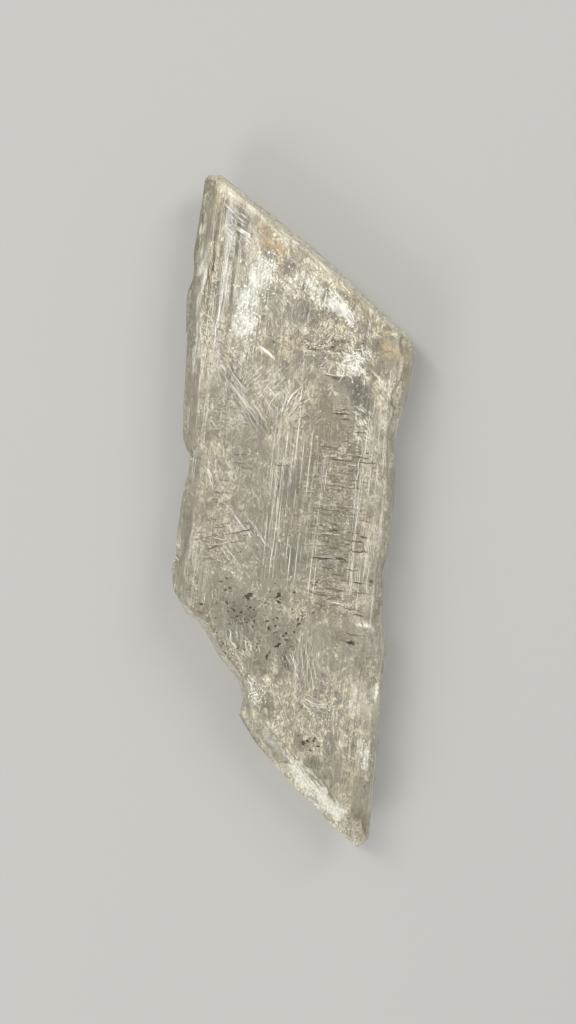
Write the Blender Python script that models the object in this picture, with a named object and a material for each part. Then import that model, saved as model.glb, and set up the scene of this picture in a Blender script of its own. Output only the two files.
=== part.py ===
"""Selenite blade: one tabular gypsum crystal, lying on a broad face.

Blender 4.5, metres, +Z up. The crystal's c axis, along which its prism faces are striated,
is +Y. X runs across the blade and Z through it. The origin is under the middle of its box,
on the surface that it rests on. The crystal is one grown piece, so it is one object.
"""

import math
import random

import bmesh
import bpy
from mathutils import Matrix, Vector

MM = 0.001

# Driving dimensions
LENGTH = 89.0 * MM  # along the c axis, tip to tip
WIDTH = 32.6 * MM  # across the prism faces, at the widest
THICKNESS = 9.2 * MM  # between the two broad faces

# Gypsum's own angles
PRISM_SLOPE = math.tan(math.radians(55.75))  # a prism face's drop for each step outwards
TERMINAL_TILT = math.radians(18.1)  # how far a terminal face leans back from upright

LEFT_GIRDLE = 0.61 * THICKNESS  # height of the edge where the left prism faces meet
RIGHT_GIRDLE = 0.70 * THICKNESS  # and the right ones
TERMINAL_GIRDLE = 0.63 * THICKNESS  # and the terminal ones
OVERSHOOT = 4.0 * MM  # how far the uncut prism runs past each tip
CLEAR = 1.0 * MM  # how far a cutter stands out of the face that it cuts

# Where the sides stand along the blade: (y, x) in mm on a blade of 89 by 32.6
NOMINAL_LENGTH, NOMINAL_WIDTH = 89.0, 32.6
LEFT_SIDE = (
    (-50.0, -14.6),
    (-13.6, -13.6),
    (-12.6, -13.8),
    (-9.8, -14.4),
    (-6.6, -14.2),
    (-0.1, -14.1),
    (3.0, -13.7),
    (4.9, -13.5),
    (6.3, -13.6),
    (6.9, -14.1),
    (8.1, -14.7),
    (10.8, -15.1),
    (15.6, -15.3),
    (21.2, -15.6),
    (22.5, -15.9),
    (27.0, -16.3),
    (31.4, -16.2),
    (36.2, -15.9),
    (43.7, -15.6),
    (50.0, -15.4),
)
RIGHT_SIDE = (
    (-50.0, 16.3),
    (-34.8, 16.3),
    (-31.5, 16.2),
    (-29.9, 16.3),
    (-28.5, 16.0),
    (-19.6, 16.0),
    (-16.8, 15.9),
    (-14.8, 15.5),
    (-13.8, 14.9),
    (-7.3, 14.5),
    (-5.2, 14.6),
    (-3.6, 14.9),
    (4.4, 14.7),
    (9.9, 14.2),
    (12.1, 14.0),
    (15.4, 14.7),
    (18.1, 15.1),
    (19.8, 15.1),
    (22.1, 15.4),
    (50.0, 15.7),
)

# Growth ridges down each prism face: (share of the way down it, how far they stand out, in mm)
LEFT_UPPER_RIDGES = ((0.0, 0.0), (0.20, 0.09), (0.34, -0.08), (0.55, 0.10), (0.72, -0.07))
RIGHT_UPPER_RIDGES = ((0.0, 0.0), (0.36, 0.08), (0.62, -0.05))
LOWER_RIDGES = (
    (0.10, -0.12),
    (0.21, 0.10),
    (0.36, -0.14),
    (0.48, 0.12),
    (0.61, -0.08),
    (0.74, 0.14),
    (0.88, -0.08),
)

# Growth steps across the broad faces: (x, how far they stand in) in mm, straight along the c axis
TOP_STEPS = (
    (-11.8, 0.56),
    (-10.3, 0.30),
    (-9.9, 0.12),
    (-7.4, 0.06),
    (-7.1, 0.0),
    (-2.6, 0.0),
    (-2.4, 0.07),
    (0.4, 0.05),
    (0.6, 0.0),
    (6.2, 0.0),
    (6.4, 0.09),
    (8.8, 0.06),
    (9.0, 0.0),
    (11.6, 0.10),
)
BOTTOM_STEPS = (
    (9.6, 0.0),
    (9.3, 0.12),
    (6.9, 0.10),
    (6.6, 0.0),
    (1.2, 0.0),
    (0.9, 0.14),
    (-2.8, 0.10),
    (-3.1, 0.0),
    (-8.6, 0.0),
)

# Terminal faces: (x, y of a point on the girdle, outward turn from +X in degrees, lean in degrees)
STEEP = math.degrees(TERMINAL_TILT)
UPPER_TERMINAL = (
    (-8.0, 41.2, 57.8, STEEP),
    (7.8, 30.4, 53.4, STEEP),
    (-8.0, 41.2, 57.8, -STEEP),
    (7.8, 30.4, 53.4, -STEEP - 3),
    (14.7, 24.9, 40.0, 14.0),
    (14.7, 24.9, 40.0, -22.0),
    (-14.4, 44.5, 96.0, 24.0),
    (-14.4, 44.5, 96.0, -20.0),
    (-15.5, 43.9, 140.0, 20.0),
    (-15.5, 43.9, 140.0, -26.0),
)
LOWER_TERMINAL = (
    (12.0, -42.5, -126.4, 38.0),
    (6.3, -37.9, -129.5, 43.0),
    (1.0, -33.1, -134.5, 42.0),
    (-2.2, -29.6, -143.0, 36.0),
    (12.0, -42.5, -126.4, -STEEP),
    (5.0, -36.8, -131.5, -STEEP - 2),
    (-2.2, -29.6, -143.0, -STEEP),
    (15.9, -43.7, -50.0, 20.0),
    (15.9, -43.7, -50.0, -24.0),
    (14.8, -44.5, -92.0, 30.0),
    (14.8, -44.5, -92.0, -20.0),
)

# The stepped break between the left side and the lower terminal: (x, y) in mm at the girdle
BREAK_LINE = (
    (-16.5, -12.0),
    (-14.0, -11.9),
    (-13.1, -13.5),
    (-12.2, -14.6),
    (-11.4, -15.5),
    (-10.1, -16.1),
    (-9.0, -17.4),
    (-7.8, -19.1),
    (-6.7, -20.6),
    (-4.9, -22.4),
    (-3.6, -23.9),
    (-3.0, -25.2),
    (-2.8, -26.4),
    (-3.0, -28.3),
    (-4.4, -29.4),
)
BREAK_RIM = Vector((0.95, 0.62)) * MM  # how far in the break reaches at the upper broad face
BREAK_FOOT = Vector((1.35, 1.05)) * MM  # and at the lower one
BREAK_HACKLE = 0.24 * MM  # how rough the broken surface is

# Ledges on a broad face: (left x, right x, low y, high y, depth, skew) in mm. Long edges run along
# the c axis, and short ones along the terminal direction where skew is 1, or straight across at 0.
TOP_LEDGES = (
    (11.2, 24.0, -9.5, 12.4, 0.26, 1),
    (12.6, 24.0, -52.0, -15.6, 0.34, 0),
    (-6.4, -1.3, 29.6, 34.6, 0.16, 1),
    (3.6, 8.6, -29.5, -18.0, 0.13, 1),
    (-24.0, -8.7, 2.2, 8.0, 0.18, 1),
)
BOTTOM_LEDGES = (
    (-24.0, -7.4, 27.0, 60.0, 0.30, 1),
    (8.4, 24.0, -52.0, -12.0, 0.26, 0),
    (-7.2, -1.4, -12.5, 9.5, 0.20, 1),
    (3.0, 8.6, 10.0, 19.4, 0.16, 1),
)

# Open striations on a broad face: (x, low y, high y, width, depth) in mm
TOP_GROOVES = (
    (-13.1, -12.6, -6.2, 0.34, 0.20),
    (-12.2, -13.4, -7.4, 0.28, 0.18),
    (-11.3, -14.0, -8.0, 0.38, 0.24),
    (-9.3, -15.8, -7.6, 0.30, 0.18),
    (-8.3, -16.4, -9.0, 0.34, 0.22),
    (-3.7, -8.8, 3.4, 0.34, 0.20),
    (-3.0, -5.6, 9.8, 0.28, 0.16),
    (-1.9, -9.2, 12.2, 0.38, 0.24),
    (-0.9, -4.2, 11.0, 0.28, 0.16),
    (0.1, -10.0, 5.4, 0.34, 0.20),
    (1.1, -7.0, 12.8, 0.30, 0.18),
    (2.0, -5.2, 14.6, 0.36, 0.24),
    (3.1, -1.0, 12.4, 0.28, 0.18),
    (3.9, -6.4, 13.6, 0.34, 0.22),
    (5.4, -4.0, 9.6, 0.28, 0.16),
    (7.6, 1.8, 13.0, 0.30, 0.18),
    (9.6, -5.4, 9.4, 0.36, 0.22),
    (5.0, -27.4, -19.2, 0.34, 0.20),
    (6.8, -30.6, -20.0, 0.30, 0.18),
    (9.9, -35.0, -22.4, 0.38, 0.22),
    (-6.0, 18.0, 28.4, 0.38, 0.20),
    (-4.4, 12.8, 20.0, 0.30, 0.16),
)
BOTTOM_GROOVES = (
    (-8.1, 2.0, 20.0, 0.36, 0.20),
    (-5.4, 14.0, 24.0, 0.34, 0.18),
    (2.4, -28.0, -2.0, 0.36, 0.22),
    (4.2, -21.0, 3.0, 0.30, 0.18),
    (7.8, -8.0, 6.0, 0.34, 0.20),
)

# Shell-shaped flakes: (centre x, y, z, radius across, radius along, radius through, turn) in mm
FLAKES = (
    (-14.9, 4.6, 10.2, 3.3, 4.4, 3.0, 6.0),
    (-16.2, 21.9, 7.6, 1.5, 1.9, 2.4, 0.0),
    (-3.9, -27.4, 10.0, 2.8, 3.6, 2.3, 40.0),
    (15.9, 24.6, 10.0, 3.2, 3.4, 2.6, -35.0),
    (16.0, -13.0, 9.6, 2.0, 3.0, 2.6, 12.0),
    (15.6, -45.6, 9.6, 2.8, 3.2, 2.4, 25.0),
    (-14.9, 46.0, 9.4, 2.4, 2.6, 2.2, -20.0),
    (-10.2, -18.6, 10.1, 2.2, 3.2, 2.0, 48.0),
    (14.6, 12.6, 0.2, 3.4, 4.0, 2.2, 10.0),
    (-7.2, -24.0, -0.2, 3.4, 4.2, 2.2, 42.0),
    (-12.0, 44.0, -0.6, 3.6, 2.8, 2.4, 10.0),
    (-5.8, 39.3, 10.2, 1.5, 2.2, 1.7, 58.0),
    (6.1, 31.2, 10.2, 1.3, 2.6, 1.7, 54.0),
    (13.8, 17.2, 9.9, 1.3, 2.7, 1.5, -8.0),
    (13.6, 2.2, 9.8, 1.2, 2.2, 1.5, 4.0),
    (14.9, -22.6, 9.6, 1.4, 3.0, 1.6, 2.0),
    (17.0, -37.2, 6.6, 1.3, 2.4, 1.6, 0.0),
    (-14.1, -7.4, 7.0, 1.2, 2.6, 1.7, -3.0),
    (-16.4, 31.0, 6.4, 1.2, 3.0, 1.5, 0.0),
    (8.2, -40.3, 6.2, 1.4, 2.6, 1.4, 51.0),
    (-8.8, 41.2, 1.0, 1.6, 3.4, 2.0, 58.0),
)


def on_blade(x, y, z=0.0):
    """A point given in mm on the nominal blade, at this blade's length and width."""
    return Vector((x * WIDTH / NOMINAL_WIDTH, y * LENGTH / NOMINAL_LENGTH, z * MM))


def clear_scene():
    for obj in list(bpy.data.objects):
        bpy.data.objects.remove(obj)


def selenite_material():
    material = bpy.data.materials.new("clear_selenite")
    material.use_nodes = True
    shader = material.node_tree.nodes["Principled BSDF"]
    shader.inputs["Base Color"].default_value = (0.78, 0.74, 0.64, 1.0)
    shader.inputs["Roughness"].default_value = 0.12
    shader.inputs["Metallic"].default_value = 0.0
    shader.inputs["IOR"].default_value = 1.52
    shader.inputs["Transmission Weight"].default_value = 0.85
    return material


def mesh_object(name, bm):
    """An object from a bmesh, with every face turned outwards."""
    bmesh.ops.recalc_face_normals(bm, faces=bm.faces)
    mesh = bpy.data.meshes.new(name)
    bm.to_mesh(mesh)
    bm.free()
    obj = bpy.data.objects.new(name, mesh)
    bpy.context.scene.collection.objects.link(obj)
    return obj


def side_at(side, y):
    """Where a side stands at a point along the blade."""
    for (y0, x0), (y1, x1) in zip(side, side[1:]):
        if y0 <= y <= y1:
            return x0 + (x1 - x0) * (y - y0) / (y1 - y0)
    return side[0][1] if y < side[0][0] else side[-1][1]


def prism_face(edge, towards, girdle, rim, ridges):
    """Points (x, z) in mm from the girdle to the rim of one prism face, with its growth ridges."""
    run = abs(rim - girdle) / PRISM_SLOPE
    return [
        (edge + towards * (run * share - out), girdle + (rim - girdle) * share)
        for share, out in ridges
    ]


def section(left, right):
    """One cross-section, in mm, clockwise from the left girdle over the top."""
    top = THICKNESS / MM
    left_z = LEFT_GIRDLE / MM
    right_z = RIGHT_GIRDLE / MM
    shoulder = top - 0.56
    points = prism_face(left, 1, left_z, shoulder, LEFT_UPPER_RIDGES)
    points.append((left + (shoulder - left_z) / PRISM_SLOPE, shoulder))
    points += [(x, top - drop) for x, drop in TOP_STEPS]
    steep = 1.0  # the narrow upright face under the right rim
    points.append((right - 0.25 - (top - right_z - steep) / PRISM_SLOPE, top))
    right_face = prism_face(right - 0.25, -1, right_z + steep, top, RIGHT_UPPER_RIDGES)
    points += reversed(right_face)
    points.append((right, right_z))
    points += prism_face(right, -1, right_z, 0.0, LOWER_RIDGES)
    points.append((right - right_z / PRISM_SLOPE, 0.0))
    points += BOTTOM_STEPS
    points.append((left + left_z / PRISM_SLOPE, 0.0))
    points += reversed(prism_face(left, 1, left_z, 0.0, LOWER_RIDGES))
    return points


def uncut_prism():
    """The striated prism, running past both tips."""
    bm = bmesh.new()
    ends = LENGTH / 2 + OVERSHOOT
    stations = {y for y, x in LEFT_SIDE + RIGHT_SIDE if abs(on_blade(0, y).y) < ends}
    stations |= {-ends / MM, ends / MM}
    rings = []
    for y in sorted(stations):
        ring = []
        for x, z in section(side_at(LEFT_SIDE, y), side_at(RIGHT_SIDE, y)):
            place = on_blade(x, y, z)
            ring.append(bm.verts.new(place))
        rings.append(ring)
    count = len(rings[0])
    for near, far in zip(rings, rings[1:]):
        for i in range(count):
            j = (i + 1) % count
            bm.faces.new((near[i], near[j], far[j], far[i]))
    bm.faces.new(rings[0])
    bm.faces.new(rings[-1])
    return bm


def cleave(bm, plane):
    """Cuts the prism back to one flat terminal face."""
    x, y, turn, lean = plane
    turn = math.radians(turn)
    lean = math.radians(lean)
    outward = Vector(
        (math.cos(turn) * math.cos(lean), math.sin(turn) * math.cos(lean), math.sin(lean))
    )
    point = on_blade(x, y)
    point.z = TERMINAL_GIRDLE
    everything = list(bm.verts) + list(bm.edges) + list(bm.faces)
    bmesh.ops.bisect_plane(
        bm, geom=everything, dist=1e-7, plane_co=point, plane_no=outward, clear_outer=True
    )
    open_edges = [edge for edge in bm.edges if edge.is_boundary]
    if open_edges:
        bmesh.ops.contextual_create(bm, geom=open_edges)


def crystal_body():
    bm = uncut_prism()
    for plane in UPPER_TERMINAL + LOWER_TERMINAL:
        cleave(bm, plane)
    return mesh_object("selenite_blade", bm)


def add_prism_cutter(bm, rings):
    """A closed cutter from rings of points that have the same count."""
    loops = [[bm.verts.new(point) for point in ring] for ring in rings]
    count = len(loops[0])
    for low, high in zip(loops, loops[1:]):
        for i in range(count):
            j = (i + 1) % count
            bm.faces.new((low[i], low[j], high[j], high[i]))
    bm.faces.new(loops[0])
    bm.faces.new(loops[-1])


def add_break(bm, line):
    """The cutter for the stepped break: upright at the girdle, reaching in above and below it."""
    far = ((-24.0, -34.0), (-24.0, -12.0))
    splinters = random.Random(5)
    foot_gap = TERMINAL_GIRDLE
    rim_gap = THICKNESS - TERMINAL_GIRDLE
    heights = (
        (-CLEAR, 1.0 * BREAK_FOOT),
        (0.16 * foot_gap, 0.80 * BREAK_FOOT),
        (0.42 * foot_gap, 0.38 * BREAK_FOOT),
        (0.70 * foot_gap, 0.14 * BREAK_FOOT),
        (TERMINAL_GIRDLE, 0.0 * BREAK_RIM),
        (TERMINAL_GIRDLE + 0.34 * rim_gap, 0.18 * BREAK_RIM),
        (TERMINAL_GIRDLE + 0.68 * rim_gap, 0.56 * BREAK_RIM),
        (THICKNESS + CLEAR, 1.0 * BREAK_RIM),
    )
    rings = []
    for height, reach in heights:
        ring = []
        for x, y in line:
            hackle = BREAK_HACKLE * splinters.random() if reach.length else 0.0
            place = on_blade(x, y).xy + reach + Vector((0.8, 0.6)) * hackle
            ring.append((*place, height + 0.6 * hackle))
        ring += [(*on_blade(x, y).xy, height) for x, y in far]
        rings.append(ring)
    add_prism_cutter(bm, rings)


def add_ledge(bm, ledge, face_height, outward):
    """A slab cutter whose floor lies a ledge's depth inside a broad face."""
    left, right, low, high, depth, skew = ledge
    drop = skew * 0.676  # y lost for each step in x along the terminal direction
    inner = left if right > NOMINAL_WIDTH / 2 else right
    corners = ((left, low), (right, low), (right, high), (left, high))
    outline = [on_blade(x, y - drop * (x - inner)) for x, y in corners]
    rings = []
    for height in (face_height - outward * depth * MM, face_height + outward * CLEAR):
        rings.append([(point.x, point.y, height) for point in outline])
    add_prism_cutter(bm, rings)


def add_groove(bm, groove, face_height, outward):
    """A canoe-shaped cutter: a V along the c axis that runs out at both ends."""
    x, low, high, width, depth = groove
    keel = face_height - outward * depth * MM
    deck = face_height + outward * CLEAR
    growth = 1 + CLEAR / (depth * MM)
    flare = width / 2 * growth
    run_out = 0.2 * (high - low)
    ends = (on_blade(x, low + run_out), on_blade(x, high - run_out))
    bottom = [bm.verts.new((*end.xy, keel)) for end in ends]
    top_low = low + run_out - run_out * growth
    top_high = high - run_out + run_out * growth
    corners = (
        (x - flare, top_low),
        (x + flare, top_low),
        (x + flare, top_high),
        (x - flare, top_high),
    )
    top = [bm.verts.new((*on_blade(a, b).xy, deck)) for a, b in corners]
    bm.faces.new(top)
    bm.faces.new((top[0], top[1], bottom[0]))
    bm.faces.new((top[2], top[3], bottom[1]))
    bm.faces.new((top[1], top[2], bottom[1], bottom[0]))
    bm.faces.new((top[3], top[0], bottom[0], bottom[1]))


def add_flake(bm, row):
    """A low, faceted ball that takes a shell-shaped flake out of an edge."""
    x, y, z, across, along, through, turn = row
    place = Matrix.Translation(on_blade(x, y, z))
    place @= Matrix.Rotation(math.radians(turn), 4, "Z")
    place @= Matrix.Diagonal((across * MM, along * MM, through * MM, 1.0))
    bmesh.ops.create_icosphere(bm, subdivisions=2, radius=1.0, matrix=place)


def cutter(name, build, rows, *where):
    """One wire cutter object for a list of cuts of the same kind."""
    bm = bmesh.new()
    for row in rows:
        build(bm, row, *where)
    obj = mesh_object(name, bm)
    obj.hide_render = True
    obj.display_type = "WIRE"
    return obj


def cut(body, tool):
    """Takes a cutter from the crystal."""
    boolean = body.modifiers.new(tool.name, "BOOLEAN")
    boolean.operation = "DIFFERENCE"
    boolean.solver = "EXACT"
    boolean.use_self = True
    boolean.object = tool


def centre_on_origin(body):
    """Puts the middle of the finished crystal's box over the origin."""
    graph = bpy.context.evaluated_depsgraph_get()
    corners = [Vector(corner) for corner in body.evaluated_get(graph).bound_box]
    low = Vector(map(min, *corners))
    high = Vector(map(max, *corners))
    off = Vector(((low.x + high.x) / 2, (low.y + high.y) / 2, low.z))
    for obj in bpy.data.objects:
        obj.location -= off


def main():
    clear_scene()
    blade = crystal_body()
    blade.data.materials.append(selenite_material())
    cut(blade, cutter("lower_break", add_break, [BREAK_LINE]))
    cut(blade, cutter("top_ledges", add_ledge, TOP_LEDGES, THICKNESS, 1))
    cut(blade, cutter("bottom_ledges", add_ledge, BOTTOM_LEDGES, 0.0, -1))
    cut(blade, cutter("top_grooves", add_groove, TOP_GROOVES, THICKNESS, 1))
    cut(blade, cutter("bottom_grooves", add_groove, BOTTOM_GROOVES, 0.0, -1))
    cut(blade, cutter("edge_flakes", add_flake, FLAKES))
    centre_on_origin(blade)


main()
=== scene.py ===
import math
import random
from functools import cache

import bmesh
import bpy
from mathutils import Euler, Matrix, Vector, noise
from mathutils.bvhtree import BVHTree


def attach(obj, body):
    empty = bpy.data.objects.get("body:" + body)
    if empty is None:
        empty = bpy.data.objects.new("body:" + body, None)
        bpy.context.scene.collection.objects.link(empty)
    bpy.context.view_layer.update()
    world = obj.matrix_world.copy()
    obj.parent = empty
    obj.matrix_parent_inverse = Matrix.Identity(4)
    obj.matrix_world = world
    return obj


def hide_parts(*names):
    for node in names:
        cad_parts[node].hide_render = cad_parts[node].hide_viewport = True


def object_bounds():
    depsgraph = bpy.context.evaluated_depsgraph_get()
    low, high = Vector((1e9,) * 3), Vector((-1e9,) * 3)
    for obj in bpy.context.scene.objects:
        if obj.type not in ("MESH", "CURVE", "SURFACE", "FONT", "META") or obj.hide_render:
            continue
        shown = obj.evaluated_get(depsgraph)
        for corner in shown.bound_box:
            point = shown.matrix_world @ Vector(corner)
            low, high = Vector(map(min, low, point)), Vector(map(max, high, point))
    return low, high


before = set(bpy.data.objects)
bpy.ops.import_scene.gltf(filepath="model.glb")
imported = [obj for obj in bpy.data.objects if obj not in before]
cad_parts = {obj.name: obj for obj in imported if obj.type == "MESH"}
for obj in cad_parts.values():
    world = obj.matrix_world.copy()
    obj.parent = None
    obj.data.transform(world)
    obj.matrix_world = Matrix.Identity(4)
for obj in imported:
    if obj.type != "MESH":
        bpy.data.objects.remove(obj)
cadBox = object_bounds()
mm = 0.001
scene = bpy.context.scene
noise.seed_set(7)  # else noise_vector differs from run to run

print("frame loaded")


class Field:
    def __init__(self, tree, socket=None):
        self.tree = tree
        self.socket = socket

    def node(self, kind, settings, values, out=0):
        made = self.tree.nodes.new(kind)
        for name, value in settings.items():
            setattr(made, name, value)
        for name, value in values.items():
            if isinstance(value, Field):
                self.tree.links.new(value.socket, made.inputs[name])
            else:
                made.inputs[name].default_value = value
        return Field(self.tree, made.outputs[out] if len(made.outputs) else None)

    def maths(self, operation, a, b=0.0):
        return self.node("ShaderNodeMath", {"operation": operation}, {0: a, 1: b})

    def __add__(self, other):
        return self.maths("ADD", self, other)

    __radd__ = __add__

    def __sub__(self, other):
        return self.maths("SUBTRACT", self, other)

    def __rsub__(self, other):
        return self.maths("SUBTRACT", other, self)

    def __mul__(self, other):
        return self.maths("MULTIPLY", self, other)

    __rmul__ = __mul__

    def most(self, other):
        return self.maths("MAXIMUM", self, other)

    def least(self, other):
        return self.maths("MINIMUM", self, other)

    def remainder(self):
        return self.maths("FRACT", self)

    def size(self):
        return self.maths("ABSOLUTE", self)

    # 0 below low and 1 above high, or the other way round where low is the larger
    def between(self, low, high):
        values = {"Value": self, "From Min": low, "From Max": high}
        return self.node("ShaderNodeMapRange", {"interpolation_type": "SMOOTHSTEP"}, values)

    def blend(self, a, b):
        values = {"Factor": self, "A": a, "B": b}
        return self.node("ShaderNodeMix", {"data_type": "RGBA"}, values, 2)


def meshOf(name, bm):
    mesh = bpy.data.meshes.new(name)
    bm.to_mesh(mesh)
    bm.free()
    return mesh


def newFinish(name):
    material = bpy.data.materials.new(name)
    material.use_nodes = True
    material.node_tree.nodes.clear()
    return material, Field(material.node_tree)


# Object coordinates in mm, turned about z and then stretched by a scale along each axis
def placeOf(start, scale=(1, 1, 1), turn=0.0, shift=(0, 0, 0)):
    place = start.node("ShaderNodeTexCoord", {}, {}, "Object")
    point = {"vector_type": "POINT"}
    if turn:
        turned = {"Vector": place, "Rotation": (0, 0, math.radians(turn))}
        place = start.node("ShaderNodeMapping", point, turned)
    values = {"Vector": place, "Location": shift, "Scale": tuple(1000 * s for s in scale)}
    return start.node("ShaderNodeMapping", point, values)


# Noise on the place, with its size in mm before the scale stretches it
def noiseOf(start, scale, size, detail, roughness=0.55, distortion=0.0, turn=0.0, shift=(0, 0, 0)):
    values = {
        "Vector": placeOf(start, scale, turn, shift),
        "Scale": 1.0 / size,
        "Detail": detail,
        "Roughness": roughness,
        "Distortion": distortion,
    }
    return start.node("ShaderNodeTexNoise", {}, values, "Fac")


def axesOf(start, place):
    return [start.node("ShaderNodeSeparateXYZ", {}, {0: place}, i) for i in range(3)]


# A share of 0 at the first limit and 1 at the second, whichever is the larger
def shareOf(value, none, full):
    return max(0.0, min(1.0, (value - none) / (full - none)))


blade = {
    "weld": 2e-6,
    "cell": 1.0 * mm,
    "stripsPerCell": 6,
    "rowsPerCell": 2,
    "growthStep": 0.035 * mm,
    "etching": 0.018 * mm,
    "frostRelief": 0.05 * mm,
    "sideStriation": 0.05 * mm,
    # a face whose normal stands less upright than this is a side or an end
    "uprightness": 0.75,
    # least and most frost on an end face
    "endFrost": (0.45, 0.65),
    # how far a patch's edge wanders, and how far patches move on the lower face, in mm
    "patchWander": 0.8,
    "lowerFaceShift": (1.1, -1.7),
    "smoothBelow": 16,
    "indexOfRefraction": 1.52,
    "absorbColour": (0.80, 0.68, 0.34, 1),
    "absorbDensity": 9.0,
    "clearTint": (0.985, 0.975, 0.925, 1),
    # painted shade: the grey glass tint of the clear windows
    "windowShadeTint": (0.62, 0.62, 0.58, 1),
    "hazeColour": (0.55, 0.46, 0.29, 1),
    "paleColour": (0.95, 0.90, 0.72, 1),
    "warmColour": (0.93, 0.86, 0.66, 1),
    "creamColour": (0.88, 0.80, 0.57, 1),
    "whiteColour": (0.93, 0.925, 0.82, 1),
    "rustColour": (0.52, 0.37, 0.18, 1),
    "dustColour": (0.12, 0.090, 0.055, 1),
}

# The terminal's own direction across the blade: y falls by this much for each step in x
terminalDrop = 0.676

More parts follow.
